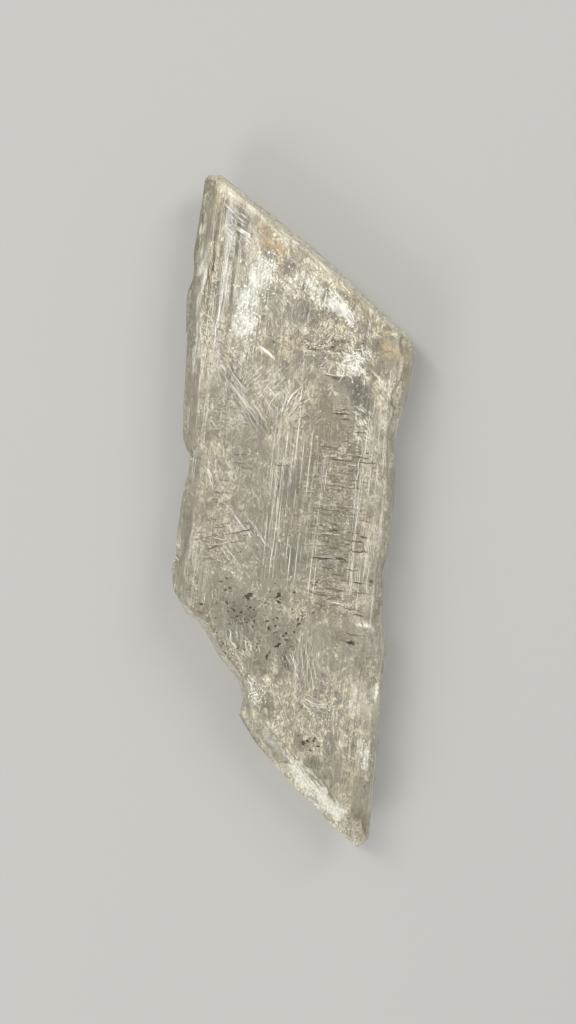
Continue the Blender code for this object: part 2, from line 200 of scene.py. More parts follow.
# Patches: x and y of the middle, half width and half length in mm, turn in degrees, strength
patches = {
    "frost": (
        (-1.4, -25.4, 1.9, 2.6, 25, 0.4),
        (15.6, -24.0, 0.5, 4.5, 3, 0.7),
        (-13.6, 42.5, 1.5, 1.4, 0, 0.6),
        (-13.2, 38.0, 1.2, 5.5, 4, 0.3),
    ),
    "silk": (
        (-7.9, 25.8, 1.9, 4.2, -4, 1.0),
        (-6.4, 31.2, 2.2, 3.2, -14, 1.0),
        (1.0, 30.0, 4.4, 1.7, -35, 0.75),
        (4.9, 27.3, 3.6, 0.6, -42, 1.1),
        (1.6, 33.6, 8.0, 1.0, -34, 0.55),
        (-10.4, 40.4, 1.6, 1.2, -30, 0.5),
        (7.3, 20.9, 2.0, 1.6, -40, 0.7),
        (10.4, 21.0, 1.0, 1.6, 0, 0.5),
        (1.0, 24.6, 4.4, 1.6, -20, 0.35),
        (-4.9, 21.0, 1.6, 1.6, 0, 0.5),
        (-1.6, 15.0, 1.6, 2.6, -30, 0.4),
        (-14.4, 27.0, 0.7, 14.0, 3, 0.9),
        (-12.7, 34.0, 1.0, 8.0, 4, 0.4),
        (-14.3, 30.2, 0.3, 2.4, 0, 1.1),
        (12.2, 17.4, 1.3, 3.0, 8, 0.5),
        (11.3, 10.5, 1.2, 5.5, 0, 0.45),
        (-12.3, 1.2, 1.3, 2.6, -10, 0.4),
        (-12.6, -12.0, 1.8, 4.4, 4, 0.45),
        (10.5, -9.6, 1.1, 1.8, 0, 0.65),
        # painted highlights: the next three patches, at the lower right margin, are painted white
        # for light caught there
        (12.0, -24.4, 0.7, 1.9, -18, 0.9),
        (10.0, -26.8, 0.5, 1.8, 0, 0.8),
        (15.0, -24.0, 0.7, 3.0, 3, 0.7),
        (14.9, -19.0, 0.5, 3.0, 3, 0.6),
        (-0.9, -24.9, 1.5, 2.0, 30, 0.75),
        (8.6, -37.2, 1.3, 6.8, 48, 1.5),
        (6.4, -37.0, 0.8, 8.5, 48, 0.9),
        (2.0, -31.2, 0.7, 4.0, 48, 1.1),
        (2.8, -22.9, 1.3, 0.9, 0, 0.5),
        (8.0, -27.5, 4.5, 3.5, 0, 0.3),
    ),
    "dust": (
        (6.8, 3.0, 4.6, 11.0, 0, 0.9),
        (7.4, -9.8, 5.2, 3.4, 0, 0.7),
        (-9.3, -6.0, 4.2, 3.0, -25, 0.8),
        (-11.6, 23.5, 2.4, 2.8, 0, 0.7),
        (3.0, 22.6, 3.6, 1.4, 0, 0.8),
        (8.5, -14.5, 4.4, 3.2, 0, 0.5),
        (-5.0, 4.5, 4.5, 4.0, 0, 0.35),
        (-9.2, 11.6, 4.4, 3.0, -10, 0.6),
        (3.8, 13.2, 3.2, 2.0, 20, 0.6),
    ),
    "rust": (
        (-6.3, 36.3, 0.9, 1.9, 25, 1.4),
        (-4.9, 34.9, 1.5, 0.8, -20, 1.1),
        (12.6, 23.0, 2.8, 1.5, -38, 0.9),
        (14.4, 20.8, 1.1, 2.8, 0, 0.7),
        (-13.4, 40.6, 0.5, 3.4, 8, 0.6),
        (-12.2, 33.0, 1.0, 2.4, 0, 0.35),
        (-9.8, 40.0, 1.6, 0.7, -30, 0.5),
        (6.6, 29.6, 3.0, 1.0, -34, 0.5),
        (-1.4, 22.6, 1.6, 2.0, 0, 0.5),
        (-4.6, 20.4, 1.8, 1.6, 0, 0.4),
        (-0.4, 28.0, 1.2, 0.9, 0, 0.4),
        (0.6, 17.6, 1.6, 1.2, 40, 0.35),
        (5.0, 13.0, 3.0, 2.6, 0, 0.4),
        (10.6, -24.0, 1.2, 1.2, 0, 0.3),
    ),
    "clear": (
        (-9.7, 38.2, 1.6, 2.5, 12, 1.0),
        (7.6, -33.6, 1.5, 1.5, 30, 0.9),
        (-3.0, 33.0, 1.1, 1.0, 0, 0.9),
        (-0.2, 26.4, 2.2, 1.8, 0, 0.7),
        (-0.6, 20.2, 2.4, 1.4, 0, 0.5),
        (-12.3, 27.6, 1.5, 2.2, 0, 0.8),
        (-10.0, 28.2, 0.6, 3.4, 0, 0.9),
        (-8.0, 16.6, 2.8, 1.2, -30, 0.8),
        (-4.8, 11.4, 0.9, 2.4, 28, 0.8),
        (2.2, -6.3, 1.5, 1.4, 0, 0.7),
        (-3.6, -15.6, 2.2, 3.0, 0, 0.7),
        (-1.2, -20.6, 1.6, 2.6, -30, 0.7),
        (5.2, 12.0, 2.2, 1.8, 20, 0.5),
        (2.4, -19.8, 0.9, 2.2, -14, 0.8),
        (5.6, -20.8, 1.5, 1.6, 0, 0.7),
        (9.0, 16.0, 1.5, 2.8, 25, 0.9),
        (12.3, 5.0, 1.4, 5.0, 0, 0.3),
        (0.6, 3.4, 1.7, 2.4, 0, 0.55),
        (14.2, -36.8, 0.9, 2.4, 0, 0.6),
        (14.4, -41.2, 2.0, 2.6, 0, 0.7),
        (0.6, -31.6, 4.2, 1.8, -48, 0.6),
        (12.7, 13.0, 1.2, 4.2, 0, 0.35),
        (6.8, 26.2, 2.6, 0.7, -35, 0.6),
    ),
    "milk": (
        (1.0, 31.0, 13.0, 5.0, -34, 1.15),
        (-13.4, 30.0, 2.2, 15.0, 3, 0.9),
        (-9.0, 24.0, 5.0, 9.0, 0, 0.8),
        (2.5, 22.0, 8.0, 4.0, 0, 1.0),
        (12.0, 19.0, 3.5, 6.0, 0, 1.0),
        (-3.0, 14.0, 8.0, 6.0, 0, 0.8),
        (3.5, 6.0, 6.0, 9.0, 0, 0.7),
        (-10.0, -1.0, 5.0, 9.0, 0, 0.7),
        (-10.2, 10.0, 4.2, 4.6, 0, 0.85),
        (11.5, 0.0, 3.0, 13.0, 0, 0.8),
        (7.0, -12.0, 7.0, 4.0, 0, 0.75),
        (-6.0, -14.0, 6.0, 6.0, -30, 0.3),
        (5.0, -24.0, 9.0, 5.5, -30, 0.8),
        (11.0, -28.0, 5.0, 7.0, 0, 0.85),
        (4.0, -32.0, 8.0, 4.5, -42, 0.85),
        (12.0, -38.0, 3.0, 4.0, 0, 0.7),
    ),
    "lines": (
        (1.6, 1.5, 4.6, 10.5, 0, 1.0),
        (-12.0, -10.5, 2.8, 7.0, 0, 0.9),
        (12.0, 5.0, 2.2, 10.0, 0, 0.7),
        (5.4, -21.0, 2.2, 4.2, 4, 0.7),
        (11.5, -27.0, 3.5, 6.5, 0, 0.8),
        (-13.2, 32.0, 1.5, 12.0, 3, 0.35),
        (-8.0, 27.0, 2.4, 5.0, 0, 0.3),
        (-9.0, 5.5, 3.8, 6.0, 0, 0.45),
    ),
}

# Frosted strips along the slanting ends: outward direction, the end's reach and the width in mm
edgeStrips = (
    {"out": (0.559, 0.829), "reach": 29.2, "width": 3.0, "raggedness": 0.6, "strength": 0.85},
    {"out": (-0.662, -0.750), "reach": 23.3, "width": 3.4, "raggedness": 0.35, "strength": 0.85},
)


def patchAt(kind, x, y):
    share = 0.0
    for middleX, middleY, across, along, turn, strength in patches[kind]:
        dx, dy = x - middleX, y - middleY
        if abs(dx) > 14 or abs(dy) > 15:
            continue
        turned = math.radians(turn)
        u = (dx * math.cos(turned) + dy * math.sin(turned)) / across
        v = (dy * math.cos(turned) - dx * math.sin(turned)) / along
        fade = shareOf(math.hypot(u, v), 1.25, 0.65)
        share = max(share, strength * fade * fade * (3 - 2 * fade))
    return share


# Frost share along the slanting ends, with a painted highlight: a bright rim at the outermost edge
# of each end
def stripAndRimHighlightAt(x, y):
    share = 0.0
    for strip in edgeStrips:
        inside = strip["reach"] - strip["out"][0] * x - strip["out"][1] * y
        wander = noise.noise(Vector((x / 3.1, y / 3.1, 4.0)))
        wander += 0.5 * noise.noise(Vector((x / 1.1, y / 1.5, 2.0)))
        width = strip["width"] * (1 + strip["raggedness"] * wander)
        fade = shareOf(inside, width + 0.08 * strip["width"], width - 0.72 * strip["width"])
        # painted highlight: the outermost 0.4 to 0.7 mm of each end goes to full frost as a bright
        # rim, standing in for light caught on the edge
        rim = shareOf(inside, 0.7, 0.4)
        share = max(share, strip["strength"] * fade, rim)
    return share


# A painted sheen by the right edge: a pearly band painted white where a ledge catches the light. It
# ends sharply at its low end and fades out at the other sides
ledgeSheen = {
    "left": 11.6,
    "low": -33.8,
    "high": -24.5,
    "fadeAcross": 2.2,
    "fadeAlong": 6.6,
    "sharp": 0.15,
    "strength": 0.85,
}


def ledgeSheenAt(x, y):
    across = shareOf(x, ledgeSheen["left"], ledgeSheen["left"] + ledgeSheen["fadeAcross"])
    along = shareOf(y, ledgeSheen["high"], ledgeSheen["high"] - ledgeSheen["fadeAlong"])
    end = shareOf(y, ledgeSheen["low"], ledgeSheen["low"] + ledgeSheen["sharp"])
    return ledgeSheen["strength"] * min(across, along, end)


def cutAt(bm, faces, place, normal):
    edges = dict.fromkeys(edge for face in faces for edge in face.edges)
    verts = dict.fromkeys(vert for face in faces for vert in face.verts)
    geom = list(faces) + list(edges) + list(verts)
    cut = bmesh.ops.bisect_plane(bm, geom=geom, dist=1e-8, plane_co=place, plane_no=normal)
    return [part for part in cut["geom"] if isinstance(part, bmesh.types.BMFace)]


# Cuts every face at each whole cell along an axis, then the broad faces of a cell into equal strips
def sliceUp(bm, normal, low, high, cell, strips):
    count = int((high - low) / cell) + 1
    for i in range(1, count):
        cutAt(bm, list(bm.faces), normal * (low + i * cell), normal)
    cells = {}
    for face in bm.faces:
        if face.normal.z > 0.8:
            place = int((face.calc_center_median().dot(normal) - low) / cell)
            cells.setdefault(place, []).append(face)
    for i, faces in cells.items():
        for j in range(1, strips):
            faces = cutAt(bm, faces, normal * (low + (i + j / strips) * cell), normal)


# Growth steps across a broad face: flat treads with short risers, all along the c axis
def stepsAt(x, y, seed):
    height = 0.0
    for width, length, share in ((2.3, 34.0, 0.42), (0.9, 17.0, 0.34), (0.38, 11.0, 0.24)):
        along = (y + terminalDrop * x) / length
        place = Vector((x / width + seed, along + 0.37 * seed, seed))
        height += share * noise.cell(place)
    return height


middleHeight = (cadBox[0].z + cadBox[1].z) / 2


# What a corner of the crystal carries for its finish: (frost, silk, dust, rust) and
# (clear, lines, height, milk); the frost share holds a painted bright rim at the ends and the silk
# share holds painted highlights
def tintsAt(place, normal):
    low, high = cadBox
    x, y, z = place / mm
    height = shareOf(place.z, low.z, high.z)
    wander = noise.noise_vector(Vector((x / 1.3, y / 1.8, z / 3))) * blade["patchWander"]
    # the frost share here includes the painted bright rim along the ends
    frost = stripAndRimHighlightAt(x + 0.5 * wander.x, y + 0.5 * wander.y)
    x, y = x + wander.x, y + wander.y
    lineX, lineY = x, place.y / mm
    if place.z < middleHeight:
        x, y = x + blade["lowerFaceShift"][0], y + blade["lowerFaceShift"][1]
    frost = max(frost, patchAt("frost", x, y))
    silk, dust, rust, clear, lines, milk = (
        patchAt(kind, x, y) for kind in ("silk", "dust", "rust", "clear", "lines", "milk")
    )
    if abs(normal.z) < blade["uprightness"]:
        growthSide = shareOf(abs(normal.x), 0.66, 0.78)  # a side along the c axis, not an end
        least, most = blade["endFrost"]
        frost = min(most, max(frost, least)) * (1 - 0.7 * growthSide)
        lines = max(lines, 0.8 * growthSide)
        dust, rust, milk = 0.3 * dust, 0.5 * rust, 0.3 * milk  # the ends are cleaner
    elif place.z > middleHeight:
        # painted highlight: the ledge sheen is added to the silk share on the upper face
        silk = max(silk, ledgeSheenAt(lineX, lineY))
    return (frost, silk, dust, rust), (clear, lines, height, milk)


# How far a corner moves from the flat face: growth steps, pits, frost and striations on the sides
def reliefAt(place, frost, lines):
    low, high = cadBox
    x, y, z = place / mm
    steps = stepsAt(x, y, 3.0 if place.z > middleHeight else 11.0)
    pits = noise.fractal(Vector((x / 0.9, y / 2.4, z / 0.9)), 1.0, 2.1, 3)
    crust = noise.fractal(Vector((x / 0.7, y / 0.9, z / 0.7)), 0.7, 2.2, 3)
    rise = blade["etching"] * pits - blade["growthStep"] * (0.35 + 0.65 * lines) * steps
    rise += blade["frostRelief"] * frost * (crust - 0.6)
    sideways = noise.fractal(Vector((y / 26, z / 0.34, 5.0)), 0.8, 2.2, 3)
    outward = math.copysign(shareOf(abs(x), 9.5, 12.5), x)
    upward = (place.z - middleHeight) / (0.42 * (high.z - low.z))
    upward = max(-1.0, min(1.0, upward))
    return Vector((outward * blade["sideStriation"] * sideways, 0, upward * rise))


def bladePiece(node):
    bm = bmesh.new()
    bm.from_mesh(node.data)
    bmesh.ops.remove_doubles(bm, verts=bm.verts, dist=blade["weld"])
    bmesh.ops.dissolve_limit(
        bm, angle_limit=0.004, use_dissolve_boundaries=False, verts=bm.verts, edges=bm.edges
    )
    low, high = cadBox
    sliceUp(bm, Vector((1, 0, 0)), low.x, high.x, blade["cell"], blade["stripsPerCell"])
    sliceUp(bm, Vector((0, 1, 0)), low.y, high.y, blade["cell"], blade["rowsPerCell"])
    bmesh.ops.triangulate(bm, faces=[face for face in bm.faces if len(face.verts) > 4])
    tints = [tintsAt(vert.co, vert.normal) for vert in bm.verts]
    for vert, (veil, window) in zip(bm.verts, tints):
        vert.co += reliefAt(vert.co, veil[0], window[1])
    mesh = meshOf("selenite_crystal", bm)
    for name, values in zip(("veils", "windows"), zip(*tints)):
        layer = mesh.color_attributes.new(name=name, type="FLOAT_COLOR", domain="POINT")
        layer.data.foreach_set("color", [part for value in values for part in value])
    mesh.shade_smooth()
    mesh.set_sharp_from_angle(angle=math.radians(blade["smoothBelow"]))
    piece = bpy.data.objects.new("selenite_crystal", mesh)
    scene.collection.objects.link(piece)
    return piece


# The four shares that the corners of the crystal carry under a name
def carriedBy(start, name):
    carried = {"attribute_name": name}
    shares = axesOf(start, start.node("ShaderNodeAttribute", carried, {}, "Vector"))
    return [*shares, start.node("ShaderNodeAttribute", carried, {}, "Alpha")]


# Clear glass with absorption under a cloudy veil. The veil's share and colour come from the
# patches, broken up by noise that is stretched along the c axis
def clearSelenite():
    material, start = newFinish("clear selenite")
    frost, silkAndHighlight, dusty, rusty = carriedBy(start, "veils")
    clear, lined, upper, milky = carriedBy(start, "windows")

    # spots and clouds, then streaks along the axis, then rows of dust and fine grain
    speckle = noiseOf(start, (1.2, 0.7, 1), 0.24, 2.0)
    mottle = noiseOf(start, (1, 0.7, 1), 1.5, 5.0, 0.65, 0.4)
    broad = noiseOf(start, (1, 0.8, 0.7), 5.5, 1.0, 0.4, 0.6, turn=20)
    streak = noiseOf(start, (1, 0.09, 0.4), 0.26, 3.0)
    ends = noiseOf(start, (1.6, 0.16, 0.5), 1.4, 2.0)
    thread = noiseOf(start, (1, 0.008, 0.15), 0.22, 1.0)
    curls = noiseOf(start, (0.42, 1.35, 0.6), 0.9, 3.0, 0.6, 0.9)
    drift = noiseOf(start, (0.9, 0.6, 0.8), 3.4, 2.0, 0.5, 0.3, turn=-12, shift=(5, 2, 8))
    sand = noiseOf(start, (1, 0.8, 1), 0.26, 1.5, shift=(7, 2, 4))
    alongAxis = axesOf(start, placeOf(start, (1, 1, 1), 2))[1]
    stripe = (1.7 * alongAxis + 2.6 * curls + 1.2 * drift).remainder()
    gate = noiseOf(start, (0.4, 1.5, 1), 1.3, 2.0, shift=(1, 4, 2))
    fibre = noiseOf(start, (1.5, 0.45, 1), 0.42, 5.0, 0.72, 0.2, turn=-24)
    grit = noiseOf(start, (1, 0.8, 1), 0.13, 2.0, 0.6)
    swirl = noiseOf(start, (1, 0.8, 1), 3.6, 2.0, shift=(9, 3, 5))

    # short hairs that stand upright or lean either way, by area
    upright = noiseOf(start, (1.2, 0.22, 1), 0.2, 2.0, 0.6, turn=3, shift=(3, 1, 6))
    falling = noiseOf(start, (0.26, 1.3, 1), 0.2, 2.0, 0.6, turn=50, shift=(3, 1, 6))
    rising = noiseOf(start, (0.26, 1.3, 1), 0.2, 2.0, 0.6, turn=-50, shift=(3, 1, 6))
    hairy = upright + swirl.between(0.49, 0.45) * (falling - upright)
    hairy = hairy + swirl.between(0.53, 0.57) * (rising - hairy)

    # layered steps: each has one crisp edge and fades away from it
    layer = (broad * 7.0).remainder()
    grain = fibre.between(0.40, 0.60)
    sheet = layer.between(0.85, 0.0) * (0.25 + 0.75 * grain) * drift.between(0.42, 0.58)
    other = (drift * 8.0).remainder().between(0.7, 0.0) * grain * speckle.between(0.35, 0.55)
    fabric = 0.28 * sheet + 0.20 * other + 0.16 * speckle.between(0.46, 0.62)
    weave = (0.30 * fibre + 0.38 * hairy + 0.32 * grit).between(0.44, 0.56)

    # milk and haze, and striations: pale lines painted along them as glints (painted highlight),
    # and dark lines
    milk = milky * (0.7 * mottle + 0.3 * drift).between(0.40, 0.56) * (0.22 + 0.64 * weave)
    haze = (0.04 + fabric).most(milk) * (0.35 + 0.65 * upper) * (1.0 - 0.85 * clear)
    shown = lined * ends.between(0.40, 0.56) * (1.0 - 0.7 * clear)
    glintLine = shown * thread.between(0.61, 0.66)
    darkLine = shown * thread.between(0.38, 0.32)

    # buried dust: wisps, dark and pale laminae, stipple and hair cracks
    wisp = dusty * (curls - 0.5).size().between(0.030, 0.006) * ends.between(0.36, 0.50)
    lamina = dusty * gate.between(0.46, 0.56)
    darkLamina = lamina * (stripe - 0.40).size().between(0.20, 0.06)
    paleLamina = lamina * (stripe - 0.72).size().between(0.18, 0.05)
    stipple = (0.35 * milky + 0.65 * dusty).least(1.0) * sand.between(0.59, 0.66) * upper
    crackle = (fibre - 0.5).size().between(0.030, 0.008) * drift.between(0.46, 0.56)
    crackle = crackle.most((mottle - 0.47).size().between(0.014, 0.005)) * (0.25 + 0.75 * milky)
    wisp = wisp.most(darkLamina).most(0.9 * stipple).most(0.55 * crackle * upper)

    # silky patches with painted highlights among them, sugary frost with a painted bright rim at
    # the ends, rust, and the veil that all of them make
    silk = (0.95 * silkAndHighlight + 1.5 * (streak - 0.5) + 1.1 * (mottle - 0.5)).between(0.20, 1.40)
    silk = silk * (0.70 + 0.30 * upright.between(0.40, 0.56))
    sugar = 0.34 + 0.12 * grit.between(0.42, 0.60) + 0.46 * weave
    crust = (frost + 1.5 * (mottle - 0.5) + 0.9 * (streak - 0.5)).between(0.15, 0.85) * sugar
    pale = (0.85 * silk).most(crust).most(0.4 * glintLine).most(0.5 * paleLamina)
    pale = pale * (1.0 - 0.7 * clear)
    wisp = wisp * (1.0 - 0.8 * silk) * (1.0 - 0.5 * crust)
    rust = (rusty * (0.5 + 0.5 * weave) * mottle.between(0.28, 0.55)).least(0.85)
    veil = haze.most(pale).most(0.8 * rust).most(0.75 * wisp).most(0.5 * darkLine).least(0.92)

    # the veil's colour
    paleNow = broad.between(0.44, 0.58).blend(blade["paleColour"], blade["warmColour"])
    colour = (0.5 * weave + 0.5 * speckle.between(0.40, 0.62)).blend(blade["hazeColour"], paleNow)
    bright = silk.most(0.45 * sheet).most(glintLine).most(paleLamina)
    colour = bright.between(0.15, 0.6).blend(colour, blade["whiteColour"])
    cream = mottle.between(0.54, 0.36).blend(blade["paleColour"], blade["creamColour"])
    cream = (0.4 + 0.6 * hairy.between(0.43, 0.56)).blend(blade["hazeColour"], cream)
    cream = (0.8 * silk).blend(cream, blade["whiteColour"])
    colour = crust.between(0.1, 0.5).blend(colour, cream)
    colour = rust.blend(colour, blade["rustColour"])
    colour = wisp.most(0.7 * darkLine).blend(colour, blade["dustColour"])

    # the glass under it and the surface of both
    # painted shade: the clear windows tint the glass grey, standing in for dark seen through them,
    # and broad drifts take the same grey
    windowShade = (0.9 * clear).most(0.35 * drift.between(0.54, 0.42))
    rough = 0.03 + 0.06 * streak + 0.26 * frost
    height = 0.5 * streak + 0.5 * speckle * (0.5 + frost) + 0.25 * thread * lined + 0.6 * layer
    values = {"Strength": 0.35, "Distance": 0.00012, "Height": height}
    bump = start.node("ShaderNodeBump", {}, values)
    values = {
        "Base Color": windowShade.blend(blade["clearTint"], blade["windowShadeTint"]),
        "Roughness": rough,
        "IOR": blade["indexOfRefraction"],
        "Transmission Weight": 1.0,
        "Normal": bump,
    }
    glass = start.node("ShaderNodeBsdfPrincipled", {}, values)
    values = {"Base Color": colour, "Roughness": 0.45, "Normal": bump}
    cloudy = start.node("ShaderNodeBsdfPrincipled", {}, values)
    surface = start.node("ShaderNodeMixShader", {}, {0: veil, 1: glass, 2: cloudy})
    values = {"Color": blade["absorbColour"], "Density": blade["absorbDensity"]}
    inner = start.node("ShaderNodeVolumeAbsorption", {}, values)
    start.node("ShaderNodeOutputMaterial", {}, {"Surface": surface, "Volume": inner})
    return material


def finishPiece(piece, material, replaced=None):
    piece.data.materials.clear()
    piece.data.materials.append(material)
    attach(piece, "root")
    if replaced:
        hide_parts(replaced)
    return piece


crystal = bladePiece(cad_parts["selenite_blade"])
finishPiece(crystal, clearSelenite(), "selenite_blade")
print("crystal made:", len(crystal.data.polygons), "faces")


def treeOf(mesh):
    return BVHTree.FromPolygons(
        [vert.co for vert in mesh.vertices], [list(face.vertices) for face in mesh.polygons]
    )


shell = treeOf(crystal.data)


# How far inside the crystal a point is, or a negative number outside it
def depthOf(point):
    nearest, normal, face, distance = shell.find_nearest(point)
    return distance if (point - nearest).dot(normal) < 0 else -distance


# Strands laid on a face stand this far out of it, in mm
surfaceLift = 0.008


# The point this far under the upper face at x, y, all in mm, or inside the lower face where the
# depth is negative. None where the crystal isn't there or isn't thick enough
def placeUnder(x, y, depth):
    side = 1 if depth >= 0 else -1
    start = Vector((x, y, side * 40)) * mm
    hit, normal, face, distance = shell.ray_cast(start, Vector((0, 0, -side)))
    if hit is None or abs(normal.z) < 0.6:
        return None
    place = hit - Vector((0, 0, (depth - side * surfaceLift) * mm))
    return place if abs(depth) < 0.05 or depthOf(place) > 0.15 * mm else None


def newPiece(name, bm, material):
    mesh = meshOf(name, bm)
    piece = bpy.data.objects.new(name, mesh)
    scene.collection.objects.link(piece)
    finishPiece(piece, material)
    mesh.calc_loop_triangles()
    print(name, "made:", len(mesh.loop_triangles), "triangles")
    return piece


# A straight strand along z, pointed at both ends, with rings of unit width between: its mesh, and
# for each corner its place across and up the ring, and the ring's number
@cache
def straightStrand(count):
    bm = bmesh.new()
    bmesh.ops.create_cone(
        bm, cap_ends=True, cap_tris=True, segments=4, radius1=1, radius2=1, depth=count - 3
    )
    tips = [vert for vert in bm.verts if vert.co.xy.length < 0.5]
    for tip in tips:
        tip.co.z += math.copysign(1, tip.co.z)
    low, high = [{vert for vert in bm.verts if side * vert.co.z > 0} for side in (-1, 1)]
    long = [edge for edge in bm.edges if low & set(edge.verts) and high & set(edge.verts)]
    if count > 4:
        bmesh.ops.subdivide_edges(bm, edges=long, cuts=count - 4)
    mesh = meshOf("strand", bm)
    corners = [vert.co for vert in mesh.vertices]
    places = [(corner.y, corner.x, round(corner.z + (count - 1) / 2)) for corner in corners]
    return mesh, places


# A closed strand through points in metres, thickest in the middle, with its half width in mm
def addStrand(bm, spots, width, flatness=0.45):
    mesh, places = straightStrand(len(spots))
    last = len(spots) - 1
    rings = []
    for i, spot in enumerate(spots):
        forward = (spots[min(i + 1, last)] - spots[max(i - 1, 0)]).normalized()
        side = forward.cross(Vector((0, 0, 1))).normalized()
        fat = width * mm * (1 - abs(2 * i / last - 1) ** 3)
        rings.append((spot, fat * side, flatness * fat * side.cross(forward)))
    flat = []
    for across, up, ring in places:
        spot, side, top = rings[ring]
        flat.extend(spot + across * side + up * top)
    mesh.vertices.foreach_set("co", flat)
    bm.from_mesh(mesh)


# A copy of a mesh, put in place by a matrix
def addCopy(bm, mesh, matrix):
    copy = mesh.copy()
    copy.transform(matrix)
    bm.from_mesh(copy)
    bpy.data.meshes.remove(copy)


# The point a share of the way along a run of points
def pointAlong(points, share):
    along = share * (len(points) - 1)
    leg = min(int(along), len(points) - 2)
    return Vector(points[leg]).lerp(Vector(points[leg + 1]), along - leg)


# A bent strand laid at one depth under a face: length and width in mm, lean in degrees
def addHair(bm, x, y, depth, length, lean, bend, width, count=6):
    turn = math.radians(lean)
    spots = []
    for i in range(count):
        along = (i / (count - 1) - 0.5) * length
        off = bend * length * (0.25 - (along / length) ** 2)
        place = placeUnder(
            x + along * math.cos(turn) - off * math.sin(turn),
            y + along * math.sin(turn) + off * math.cos(turn),
            depth,
        )
        if place is None:
            return
        spots.append(place)
    heights = [spot.z for spot in spots]
    if max(heights) - min(heights) < 0.25 * length * mm:
        addStrand(bm, spots, width)


# Strands on the upper face that follow a run of points, each over its own stretch of it
def addBundle(bm, rng, points, spread, count, width):
    span = math.dist(points[0], points[-1])
    for _ in range(count):
        first = rng.uniform(0, 0.55)
        last = min(1.0, first + rng.uniform(0.3, 0.7))
        shift = Vector((rng.gauss(0, spread), rng.gauss(0, spread)))
        spots = []
        steps = max(8, int(3.5 * span * (last - first)))
        for i in range(steps):
            spot = pointAlong(points, first + (last - first) * i / (steps - 1)) + shift
            wander = 0.25 * noise.noise_vector(Vector((spot.x, spot.y, shift.x * 9)) / 1.6)
            wander += 0.12 * noise.noise_vector(Vector((spot.x, spot.y, shift.y * 9)) / 0.35)
            spots.append(placeUnder(spot.x + wander.x, spot.y + wander.y, 0.0))
        if None not in spots:
            addStrand(bm, spots, width * rng.uniform(0.6, 1.4))


silk = {
    "seed": 4,
    # left x, right x, low y, high y, shallow and deep, how many, shortest and longest, half width
    "bundles": (
        (-2.4, 5.4, -9.0, 11.5, 0.0, 0.0, 40, 3.0, 13.0, 0.024),
        (-2.4, 5.4, -9.0, 11.5, 0.2, 2.5, 34, 3.0, 12.0, 0.040),
        (-14.0, -8.6, -16.5, -3.0, 0.0, 0.2, 60, 1.5, 6.0, 0.030),
        (9.4, 13.8, -12.0, 18.0, 0.0, 0.0, 34, 2.5, 9.0, 0.021),
        (9.4, 13.8, -12.0, 18.0, 0.2, 1.5, 40, 2.5, 10.0, 0.040),
        (3.6, 6.8, -26.0, -16.0, 0.0, 0.8, 40, 2.0, 7.0, 0.030),
        (8.0, 15.0, -35.0, -20.0, 0.0, 0.8, 100, 1.5, 6.0, 0.030),
        (-15.0, -11.4, 20.0, 43.0, 0.0, 0.5, 80, 2.0, 9.0, 0.030),
        (-10.0, -5.0, 21.0, 34.0, 0.0, 1.0, 60, 1.5, 6.0, 0.034),
        (-13.5, 13.5, -38.0, 40.0, 0.5, 7.5, 300, 1.0, 7.0, 0.035),
        (-13.5, 13.5, -38.0, 40.0, -0.4, 0.0, 160, 1.0, 7.0, 0.045),
    ),
}


def silkThreads(material):
    rng = random.Random(silk["seed"])
    bm = bmesh.new()
    for bundle in silk["bundles"]:
        left, right, low, high, shallow, deep, count, shortest, longest, width = bundle
        for _ in range(count):
            x, y = rng.uniform(left, right), rng.uniform(low, high)
            length = rng.uniform(shortest, longest)
            depth = rng.uniform(shallow, deep)
            wide = width * rng.uniform(0.6, 1.4)
            addHair(bm, x, y, depth, length, 90 + rng.gauss(0, 0.3), 0.0, wide, 4 + int(length))
    return newPiece("silk_threads", bm, material)


